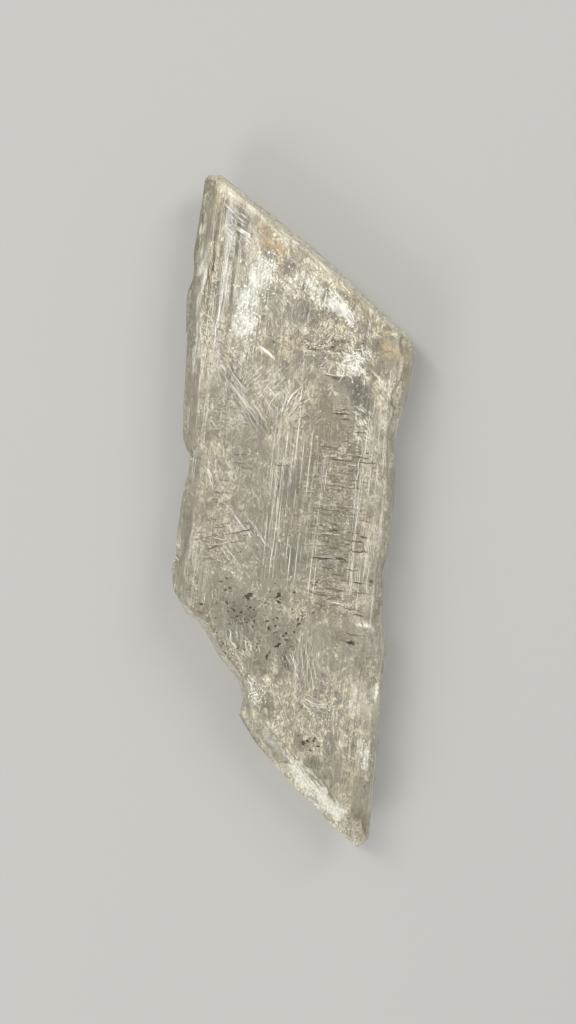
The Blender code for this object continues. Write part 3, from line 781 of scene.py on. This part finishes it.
hairCracks = {
    "seed": 31,
    # left x, right x, low y, high y, shallow and deep, how many, shortest and longest, lean and its
    # spread, bend, half width
    "zones": (
        (-13.5, 14.0, -38.0, 40.0, 0.0, 0.1, 1500, 0.3, 1.1, 0, 90, 0.2, 0.022),
        (-13.0, 12.0, 8.0, 34.0, 0.0, 0.1, 420, 0.6, 2.0, 60, 22, 0.15, 0.020),
        (-13.0, 12.0, -8.0, 32.0, 0.0, 0.1, 460, 0.6, 2.0, -50, 14, 0.10, 0.020),
        (-13.5, 14.0, -38.0, 40.0, 0.6, 7.0, 700, 0.4, 1.8, 0, 90, 0.5, 0.035),
        (1.6, 7.6, 25.8, 31.4, 0.0, 0.5, 60, 0.8, 2.6, -42, 9, 0.2, 0.045),
        (-4.0, 3.0, 28.6, 32.0, 0.0, 0.8, 90, 0.6, 2.0, -30, 25, 0.5, 0.045),
        (-11.8, -7.8, 35.6, 40.2, 0.0, 0.0, 34, 0.8, 2.6, -38, 6, 0.1, 0.028),
        (-8.4, -3.8, 11.8, 19.4, 0.0, 0.8, 90, 0.7, 2.6, -50, 10, 0.2, 0.030),
        (-2.8, 3.2, 10.6, 18.6, 0.0, 0.8, 90, 0.7, 2.6, 54, 14, 0.4, 0.030),
        (-6.8, -2.6, 15.0, 19.0, 0.0, 0.0, 60, 0.7, 2.2, 48, 12, 0.2, 0.022),
        (8.2, 10.4, 10.6, 14.8, 0.0, 0.0, 46, 0.5, 1.2, -44, 8, 0.1, 0.030),
        (5.4, 9.2, 18.8, 22.8, 0.0, 0.0, 80, 0.6, 2.2, -35, 30, 0.6, 0.034),
        (-7.4, -2.4, -7.0, -1.8, 0.0, 0.0, 22, 2.0, 4.6, -49, 2, 0.0, 0.020),
        (-13.6, -5.0, -9.6, 3.0, 0.0, 0.8, 90, 0.5, 1.8, 28, 22, 0.6, 0.035),
        (-7.0, -1.5, -21.5, -15.5, 0.0, 0.8, 70, 0.7, 1.9, -50, 24, 0.9, 0.045),
        (-3.2, 0.9, -27.2, -23.0, 0.0, 0.2, 130, 0.4, 1.4, -40, 50, 0.6, 0.035),
        (3.4, 7.4, -26.0, -17.0, 0.0, 0.4, 90, 0.8, 3.2, 82, 12, 0.3, 0.026),
        (4.4, 9.4, -12.4, -8.8, 0.0, 0.6, 50, 0.8, 2.6, -6, 14, 0.7, 0.040),
        (8.5, 14.5, -30.0, -22.0, 0.0, 0.8, 120, 0.5, 1.8, 84, 24, 0.4, 0.045),
        (5.4, 10.2, -36.0, -31.0, 0.0, 0.8, 40, 0.6, 2.0, -52, 22, 0.5, 0.040),
    ),
    # points (x, y) that a bundle of cracks follows, its spread, how many cracks, half width
    "bundles": (
        (((-11.8, 20.8), (-8.6, 17.0), (-5.6, 13.8), (-3.1, 10.7)), 0.75, 18, 0.016),
        (((-0.9, 12.5), (-1.2, 14.4), (-0.5, 15.9), (0.8, 17.0)), 0.07, 6, 0.026),
        (((-0.6, 12.7), (0.2, 14.2), (0.7, 15.6), (0.8, 17.0)), 0.07, 5, 0.022),
        (((-2.9, 11.5), (-3.5, 14.0), (-2.4, 15.9), (-1.3, 16.5)), 0.08, 5, 0.020),
        (((-2.7, 11.6), (-1.7, 13.4), (-1.3, 15.2), (-1.3, 16.5)), 0.08, 4, 0.018),
        (((-0.8, 13.0), (-0.1, 14.8), (0.6, 16.6)), 0.20, 7, 0.016),
        (((2.1, 19.6), (3.9, 18.8), (5.7, 18.9), (7.3, 19.3), (9.1, 20.6)), 0.12, 5, 0.024),
        (((9.1, 20.6), (11.0, 19.0), (12.0, 16.4)), 0.12, 4, 0.024),
        (((2.4, 30.8), (4.9, 27.9), (6.9, 26.0)), 0.34, 26, 0.032),
        (((-14.35, 32.6), (-14.3, 28.2)), 0.06, 8, 0.045),
        (((-11.2, 19.2), (-9.6, 17.6)), 0.10, 5, 0.028),
        (((-13.6, 43.2), (-2.0, 35.5), (13.0, 25.3)), 0.08, 12, 0.022),
        (((-10.9, 3.0), (-9.4, 1.0), (-7.1, -0.7), (-4.4, -4.0)), 0.05, 2, 0.018),
        (((-13.0, 4.2), (-11.8, 4.9), (-10.4, 3.9), (-9.7, 1.6)), 0.10, 4, 0.028),
        (((-6.1, 22.1), (-4.6, 21.0), (-3.0, 20.0)), 0.12, 5, 0.060),
        (((-11.2, 37.2), (-10.0, 36.6), (-8.6, 35.9)), 0.45, 6, 0.045),
        (((-10.9, 39.0), (-10.0, 38.4), (-9.0, 37.8)), 0.30, 4, 0.040),
        (((4.8, -18.0), (5.2, -21.0), (6.1, -24.0)), 0.50, 14, 0.022),
        (((2.2, -19.0), (3.4, -20.6), (4.6, -22.2)), 0.45, 8, 0.020),
        (((4.8, -24.6), (6.8, -25.8), (9.4, -26.2)), 0.45, 10, 0.020),
        (((9.9, 16.5), (9.6, 3.0), (9.9, -12.5)), 0.28, 6, 0.020),
        (((13.9, 15.5), (13.2, 4.0), (12.9, -6.0)), 0.20, 7, 0.022),
        (((-10.6, 39.0), (-11.4, 30.0), (-11.6, 20.0)), 0.25, 9, 0.024),
        (((-5.6, -16.6), (-5.2, -18.2), (-4.4, -19.2)), 0.35, 6, 0.030),
        (((-3.4, -17.6), (-2.4, -18.4), (-2.0, -19.8)), 0.35, 6, 0.030),
    ),
}


def fineCracks(material):
    rng = random.Random(hairCracks["seed"])
    bm = bmesh.new()
    for zone in hairCracks["zones"]:
        left, right, low, high, shallow, deep, count = zone[:7]
        shortest, longest, lean, spread, bend, width = zone[7:]
        anyTurn = spread == 90
        for _ in range(count):
            x, y = rng.uniform(left, right), rng.uniform(low, high)
            if anyTurn and noise.noise(Vector((x / 3.5, y / 4.5, 1.7))) < 0.04:
                continue
            length = rng.uniform(shortest, longest)
            depth = rng.uniform(shallow, deep)
            turned = lean + (rng.uniform(-90, 90) if anyTurn else rng.gauss(0, spread))
            bent = rng.uniform(-bend, bend)
            addHair(bm, x, y, depth, length, turned, bent, width * rng.uniform(0.6, 1.4), 5)
    for points, spread, count, width in hairCracks["bundles"]:
        addBundle(bm, rng, points, spread, count, width)
    return newPiece("fine_cracks", bm, material)


bands = {
    "seed": 21,
    "step": 0.22,
    "depths": (0.0, 0.0, 0.0, 0.9, 2.0, 4.0),
    # left x, right x, low y, high y, gap between rows, lean, wave height, share kept, half width
    "zones": (
        (2.0, 11.4, 1.0, 10.6, 0.50, 0.0, 0.10, 0.46, 0.085),
        (4.6, 9.0, 10.0, 15.0, 0.55, 3.0, 0.20, 0.45, 0.075),
        (2.0, 11.4, -6.0, 1.6, 0.42, -1.0, 0.26, 0.48, 0.090),
        (2.4, 12.6, -12.6, -6.0, 0.60, -2.0, 0.22, 0.48, 0.085),
        (4.6, 9.2, -12.4, -9.0, 0.40, -8.0, 0.22, 0.55, 0.065),
        (-13.4, -4.6, -9.4, -2.6, 0.50, 16.0, 0.22, 0.50, 0.060),
        (-12.4, -6.4, -1.0, 3.2, 0.45, -4.0, 0.18, 0.45, 0.055),
        (-12.6, -1.5, 2.0, 10.5, 1.10, 3.0, 0.14, 0.16, 0.045),
        (7.6, 11.4, -17.4, -15.0, 0.60, -4.0, 0.20, 0.42, 0.050),
        (-14.2, -8.6, 20.4, 26.4, 0.62, -16.0, 0.18, 0.34, 0.045),
        (-1.2, 6.4, 20.8, 24.4, 0.60, 6.0, 0.26, 0.34, 0.055),
        (3.0, 9.0, 15.0, 19.0, 0.90, 8.0, 0.20, 0.22, 0.045),
        (3.0, 9.0, -30.0, -25.0, 1.10, 4.0, 0.30, 0.12, 0.045),
        (-13.0, 13.0, -34.0, 38.0, 1.60, -2.0, 0.40, 0.10, 0.045),
    ),
    # points (x, y) that a bundle of dark lines follows, its spread, how many lines, half width
    "bundles": (
        (((7.0, -34.0), (8.8, -36.0), (10.8, -38.6)), 0.50, 10, 0.026),
        (((-0.6, -28.4), (3.0, -31.6), (6.6, -34.6)), 0.40, 8, 0.022),
        (((-12.2, 39.9), (-10.6, 38.7), (-8.8, 37.3)), 0.75, 12, 0.018),
        (((-11.6, 36.4), (-10.2, 34.2), (-9.4, 31.6)), 0.60, 8, 0.016),
        (((8.4, 21.4), (9.7, 22.3), (10.6, 22.1), (11.4, 22.8), (12.9, 23.0)), 0.06, 9, 0.024),
        (((12.8, 22.6), (13.0, 21.2), (13.6, 20.0), (14.2, 19.1)), 0.07, 4, 0.018),
        (((10.1, 18.7), (11.5, 17.2), (12.9, 15.5)), 0.22, 8, 0.026),
        (((2.6, 18.9), (5.7, 18.5), (8.8, 20.0)), 0.12, 6, 0.030),
        (((-11.4, 20.2), (-8.2, 16.4), (-5.2, 13.2), (-2.9, 10.3)), 0.80, 16, 0.022),
        (((-0.5, 12.5), (0.5, 14.2), (1.2, 16.4)), 0.25, 6, 0.022),
        (((-13.0, 42.9), (-5.0, 37.6), (3.0, 32.2), (12.6, 25.7)), 0.05, 14, 0.020),
        (((-14.5, 33.0), (-14.45, 28.0)), 0.04, 4, 0.030),
        (((5.2, -33.3), (7.4, -35.6), (10.4, -38.4)), 0.45, 12, 0.024),
        (((1.4, -18.2), (2.2, -19.8), (2.8, -21.4)), 0.15, 4, 0.045),
        (((8.0, -15.6), (9.4, -16.5), (10.6, -16.7)), 0.25, 7, 0.034),
        (((5.0, -9.6), (6.8, -9.0), (8.6, -10.4)), 0.30, 7, 0.034),
        (((5.0, -10.4), (6.8, -11.4), (8.8, -10.8)), 0.30, 7, 0.034),
        (((-13.6, 40.6), (-13.4, 33.0), (-14.2, 24.0)), 0.35, 9, 0.055),
    ),
}


# Wavy wisps of dust that the growing crystal buried, in rows that lie across the c axis
def growthBands(material):
    rng = random.Random(bands["seed"])
    bm = bmesh.new()
    step = bands["step"]
    for left, right, low, high, gap, lean, wave, kept, width in bands["zones"]:
        slope = math.tan(math.radians(lean))
        for row in range(int((high - low) / gap)):
            height = low + (row + rng.uniform(-0.6, 1.6)) * gap
            depth = rng.choice(bands["depths"])
            x = left + rng.uniform(-1, 0.5 * (right - left))
            end = right + rng.uniform(-2, 1)
            while x < end:
                count = rng.randint(4, 16)
                if rng.random() < kept:
                    spots = []
                    for i in range(count):
                        along = x + i * step
                        ripple = noise.noise(Vector((along / 0.55, height * 3, 7.0)))
                        ripple += 0.8 * noise.noise(Vector((along / 2.2, height / 2, 3.0)))
                        y = height + wave * ripple + slope * (along - left)
                        spots.append(placeUnder(along, y, depth))
                    if None not in spots:
                        addStrand(bm, spots, width * rng.uniform(0.5, 1.5), 0.4)
                x += count * step + rng.uniform(0, 0.5)
    for points, spread, count, width in bands["bundles"]:
        addBundle(bm, rng, points, spread, count, width)
    return newPiece("growth_bands", bm, material)


specks = {
    "seed": 15,
    # x, y, spread across and along, shallow and deep, how many, half size
    "clusters": (
        (2.4, 22.7, 6.0, 2.0, 0.0, 2.5, 90, 0.09),
        (-8.3, 20.1, 1.6, 2.0, 0.0, 2.5, 20, 0.10),
        (-3.5, -11.9, 0.5, 0.4, 0.0, 0.0, 11, 0.19),
        (0.6, -11.7, 0.5, 0.5, 0.0, 0.0, 11, 0.16),
        (-2.5, -14.5, 6.5, 6.0, 0.0, 3.0, 130, 0.09),
        (10.9, -16.8, 0.5, 0.3, 0.0, 0.0, 11, 0.18),
        (8.6, -5.6, 0.7, 0.3, 0.0, 0.0, 11, 0.11),
        (5.4, -9.2, 1.2, 0.5, 0.0, 0.0, 12, 0.10),
        (13.0, -8.4, 1.4, 0.9, 0.0, 0.0, 18, 0.10),
        (-9.3, -6.0, 6.0, 4.0, 0.0, 3.0, 260, 0.06),
        (6.4, -31.0, 1.6, 1.0, 0.0, 0.0, 16, 0.15),
        (7.0, 4.0, 5.0, 16.0, 0.0, 4.0, 300, 0.065),
        (6.6, -9.8, 4.0, 2.0, 0.0, 0.5, 40, 0.09),
        (5.0, -27.0, 7.0, 6.0, 0.0, 3.0, 70, 0.07),
        (-2.0, -15.0, 7.0, 5.0, 0.0, 0.0, 90, 0.13),
        (2.4, 22.7, 5.0, 1.6, 0.0, 0.0, 40, 0.10),
        (0.0, 0.0, 24.0, 66.0, 0.0, 6.0, 500, 0.05),
        (0.0, 0.0, 24.0, 66.0, 0.0, 0.1, 500, 0.055),
    ),
    # a run of dark dashes: x, y of its points, and how many dashes lie between two of them
    "chain": ((3.9, -12.6), (3.8, -14.7), (2.6, -17.2), (1.4, -18.0), (0.2, -19.2), (-0.4, -20.1)),
    "dashes": 6,
}


def claySpecks(material):
    rng = random.Random(specks["seed"])
    grains = []
    for seed in range(5):
        grain = bmesh.new()
        bmesh.ops.create_icosphere(grain, subdivisions=1, radius=1.0)
        for vert in grain.verts:
            vert.co *= 1 + 0.9 * noise.noise(1.7 * vert.co + Vector((seed, 0, 0)))
        grains.append(meshOf("grain", grain))
    bm = bmesh.new()

    def addSpeck(x, y, depth, sizes, turn):
        place = placeUnder(x, y, depth)
        if place is None:
            return
        matrix = Matrix.LocRotScale(place, Euler((0, 0, math.radians(turn))), Vector(sizes) * mm)
        addCopy(bm, rng.choice(grains), matrix)

    for x, y, across, along, shallow, deep, count, size in specks["clusters"]:
        for _ in range(count):
            half = size * rng.uniform(0.4, 1.5)
            sizes = (half * rng.uniform(0.7, 1.8), half * rng.uniform(0.5, 1.1), 0.3 * half)
            spot = (rng.gauss(x, across / 2), rng.gauss(y, along / 2))
            addSpeck(*spot, rng.uniform(shallow, deep), sizes, rng.uniform(-40, 40))
    for start, end in zip(specks["chain"], specks["chain"][1:]):
        for _ in range(specks["dashes"]):
            spot = Vector(start).lerp(Vector(end), rng.random())
            turn = math.degrees(math.atan2(end[1] - start[1], end[0] - start[0]))
            half = rng.uniform(0.12, 0.36)
            place = (spot.x + rng.gauss(0, 0.16), spot.y + rng.gauss(0, 0.16))
            addSpeck(*place, 0.0, (half, 0.38 * half, 0.2 * half), turn + rng.gauss(0, 16))
    return newPiece("clay_specks", bm, material)


cracks = {
    # points (x, y), depth of the upper edge, height of the ribbon, how far it leans across,
    # thickness
    "ribbons": (
        (((2.1, 19.6), (3.9, 18.8), (5.7, 18.9), (7.3, 19.3), (9.1, 20.6)), 0.3, 1.6, 0.5, 0.06),
        (((9.1, 20.6), (11.0, 19.0), (12.0, 16.4)), 0.3, 1.4, 0.4, 0.05),
        (((-7.6, 18.6), (-6.2, 15.0), (-3.8, 12.4), (-2.6, 10.2)), 0.3, 2.2, 0.5, 0.05),
        (((2.4, 17.6), (0.2, 14.2), (-1.6, 12.0), (-2.6, 10.2)), 0.3, 2.0, -0.4, 0.05),
        (((-6.2, 22.2), (-4.6, 20.9), (-3.0, 19.8)), 0.2, 0.8, 0.25, 0.06),
    ),
}


# Cracks that dip into the crystal: leaning, slightly crumpled sheets with a thickness
def dippingCracks(material):
    bm = bmesh.new()
    for points, depth, height, lean, thick in cracks["ribbons"]:
        sheet = bmesh.new()
        bmesh.ops.create_grid(sheet, x_segments=6 * (len(points) - 1), y_segments=4, size=1)
        lost = []
        for vert in sheet.verts:
            spot = pointAlong(points, (vert.co.x + 1) / 2)
            down = (1 - vert.co.y) / 2
            across = down * lean
            place = placeUnder(spot.x + across, spot.y - 0.3 * across, depth + down * height)
            if place is None:
                lost.append(vert)
                continue
            wrinkle = noise.noise_vector(place / (0.9 * mm))
            vert.co = place + 0.12 * mm * Vector((wrinkle.x, wrinkle.y, 0))
        bmesh.ops.delete(sheet, geom=lost, context="VERTS")
        loose = [vert for vert in sheet.verts if not vert.link_faces]
        bmesh.ops.delete(sheet, geom=loose, context="VERTS")
        bmesh.ops.solidify(sheet, geom=list(sheet.faces), thickness=thick * mm)
        bmesh.ops.recalc_face_normals(sheet, faces=list(sheet.faces))
        bm.from_mesh(meshOf("crack", sheet))
    return newPiece("dipping_cracks", bm, material)


flakes = {
    "seed": 8,
    # x, y, half spread across and along, turn, how many, half size
    "swarms": (
        (-7.8, 26.2, 1.6, 4.2, 5, 130, 0.20),
        (-5.8, 31.2, 2.0, 2.6, 14, 90, 0.20),
        (-0.8, 30.4, 3.2, 1.4, -28, 80, 0.16),
        (4.7, 28.5, 3.6, 0.8, -43, 70, 0.16),
        (7.3, 20.8, 1.9, 1.6, -40, 70, 0.18),
        (2.0, 23.4, 4.5, 3.0, 0, 60, 0.13),
        (-1.0, -25.0, 1.6, 1.8, 30, 120, 0.13),
        (14.8, -32.0, 1.0, 2.0, 0, 40, 0.14),
        (10.0, -26.0, 3.0, 4.0, 0, 90, 0.11),
        (0.0, 14.0, 12.0, 22.0, 0, 380, 0.11),
        (2.0, -18.0, 10.0, 14.0, 0, 120, 0.09),
    ),
    "steepest": 24.0,
    "thickness": 0.06,
    "kinds": 8,
}


# Small pearly cleavage plates that stand a little proud of the upper face
def cleavageFlakes(material):
    rng = random.Random(flakes["seed"])
    plates = []
    for _ in range(flakes["kinds"]):
        plate = bmesh.new()
        bmesh.ops.create_circle(plate, cap_ends=True, segments=5, radius=1)
        for vert in plate.verts:
            vert.co *= rng.uniform(0.6, 1.0)
        grown = bmesh.ops.extrude_face_region(plate, geom=list(plate.faces))["geom"]
        top = [part for part in grown if isinstance(part, bmesh.types.BMVert)]
        bmesh.ops.translate(plate, verts=top, vec=(0, 0, 1))
        bmesh.ops.translate(plate, verts=list(plate.verts), vec=(0, 0, -0.5))
        bmesh.ops.recalc_face_normals(plate, faces=list(plate.faces))
        plates.append(meshOf("plate", plate))
    bm = bmesh.new()
    for x, y, across, along, turn, count, size in flakes["swarms"]:
        turned = math.radians(turn)
        for _ in range(count):
            u, v = rng.gauss(0, across / 1.6), rng.gauss(0, along / 1.6)
            middle = placeUnder(
                x + u * math.cos(turned) - v * math.sin(turned),
                y + u * math.sin(turned) + v * math.cos(turned),
                0.02,
            )
            if middle is None:
                continue
            half = size * rng.uniform(0.4, 1.3)
            lean = [math.radians(rng.gauss(0, flakes["steepest"] / 2)) for _ in range(2)]
            sizes = Vector((0.6 * half, half, flakes["thickness"])) * mm
            spin = Euler((*lean, rng.uniform(0, 2 * math.pi)))
            addCopy(bm, rng.choice(plates), Matrix.LocRotScale(middle, spin, sizes))
    return newPiece("cleavage_flakes", bm, material)


# size of the tones in mm, their stretch along the c axis, darkest and lightest, roughness
finishes = {
    "white silk": (0.9, 0.2, (0.78, 0.74, 0.63, 1), (0.97, 0.96, 0.92, 1), 0.3),
    "pearly flakes": (0.6, 1.0, (0.84, 0.81, 0.72, 1), (0.97, 0.97, 0.94, 1), 0.14),
    "dark clay": (0.5, 1.0, (0.018, 0.012, 0.007, 1), (0.09, 0.062, 0.036, 1), 0.7),
    "buried dust": (1.2, 1.0, (0.045, 0.033, 0.018, 1), (0.20, 0.15, 0.09, 1), 0.7),
}


def plainFinish(name):
    size, stretch, dark, light, rough = finishes[name]
    material, start = newFinish(name)
    tone = noiseOf(start, (1, stretch, 1), size, 2.0)
    values = {"Base Color": tone.between(0.32, 0.68).blend(dark, light), "Roughness": rough}
    shader = start.node("ShaderNodeBsdfPrincipled", {}, values)
    start.node("ShaderNodeOutputMaterial", {}, {"Surface": shader})
    return material


whiteSilk = plainFinish("white silk")
pearl = plainFinish("pearly flakes")
darkClay = plainFinish("dark clay")
oldDust = plainFinish("buried dust")
silkThreads(whiteSilk)
fineCracks(whiteSilk)
dippingCracks(whiteSilk)
cleavageFlakes(pearl)
growthBands(oldDust)
claySpecks(darkClay)


studio = {
    "floorHalf": 6.0,
    "floorGap": 0.06 * mm,
    "floorColour": (0.465, 0.457, 0.44, 1),
    "zenith": 0.65,
    "horizon": 0.40,
    # name, place, width, length, power and colour
    "lights": (
        ("key", (-0.30, 0.20, 0.70), 0.16, 0.50, 2.3, (1.0, 0.985, 0.95)),
        ("rim", (0.36, 0.34, 0.50), 0.16, 0.40, 1.3, (1.0, 0.99, 0.96)),
        ("fill", (-0.30, -0.42, 0.40), 0.30, 0.30, 1.3, (1.0, 0.98, 0.95)),
    ),
}


def paleFloor():
    bm = bmesh.new()
    bmesh.ops.create_grid(bm, x_segments=1, y_segments=1, size=studio["floorHalf"])
    bmesh.ops.translate(bm, verts=bm.verts, vec=(0, 0, -studio["floorGap"]))
    mesh = meshOf("floor", bm)
    floor = bpy.data.objects.new("floor", mesh)
    scene.collection.objects.link(floor)
    material, start = newFinish("pale floor")
    shader = start.node(
        "ShaderNodeBsdfPrincipled", {}, {"Base Color": studio["floorColour"], "Roughness": 0.7}
    )
    start.node("ShaderNodeOutputMaterial", {}, {"Surface": shader})
    mesh.materials.append(material)


def softWorld():
    world = bpy.data.worlds.new("soft room")
    world.use_nodes = True
    world.node_tree.nodes.clear()
    start = Field(world.node_tree)
    place = start.node("ShaderNodeTexCoord", {}, {}, "Generated")
    height = axesOf(start, place)[2]
    rise = studio["zenith"] - studio["horizon"]
    strength = studio["horizon"] + rise * height.between(0.0, 0.9)
    glow = start.node(
        "ShaderNodeBackground", {}, {"Color": (0.98, 0.99, 1.0, 1), "Strength": strength}
    )
    start.node("ShaderNodeOutputWorld", {}, {"Surface": glow})
    scene.world = world


def softbox(name, place, width, length, power, colour):
    light = bpy.data.lights.new(name, "AREA")
    light.shape = "RECTANGLE"
    light.size = width
    light.size_y = length
    light.energy = power
    light.color = colour
    box = bpy.data.objects.new(name, light)
    box.location = place
    box.rotation_euler = (-Vector(place)).to_track_quat("-Z", "Y").to_euler()
    box.visible_camera = False
    scene.collection.objects.link(box)


view = {
    "target": Vector((0.57, -0.15, 4.6)) * mm,
    "distance": 300 * mm,
    "lean": 6.2,
    "frameHeight": 140.3 * mm,
}


def overheadCamera():
    data = bpy.data.cameras.new("camera")
    data.sensor_width = 36
    data.lens = data.sensor_width * view["distance"] / view["frameHeight"]
    data.clip_start = 0.01
    data.clip_end = 40
    camera = bpy.data.objects.new("camera", data)
    camera.location = view["target"] + Vector((0, 0, view["distance"]))
    camera.rotation_euler = Euler((0, 0, math.radians(view["lean"])))
    scene.collection.objects.link(camera)
    scene.camera = camera


paleFloor()
softWorld()
for light in studio["lights"]:
    softbox(*light)
overheadCamera()
scene.view_settings.view_transform = "Standard"
scene.cycles.transparent_max_bounces = 32
print("studio set")
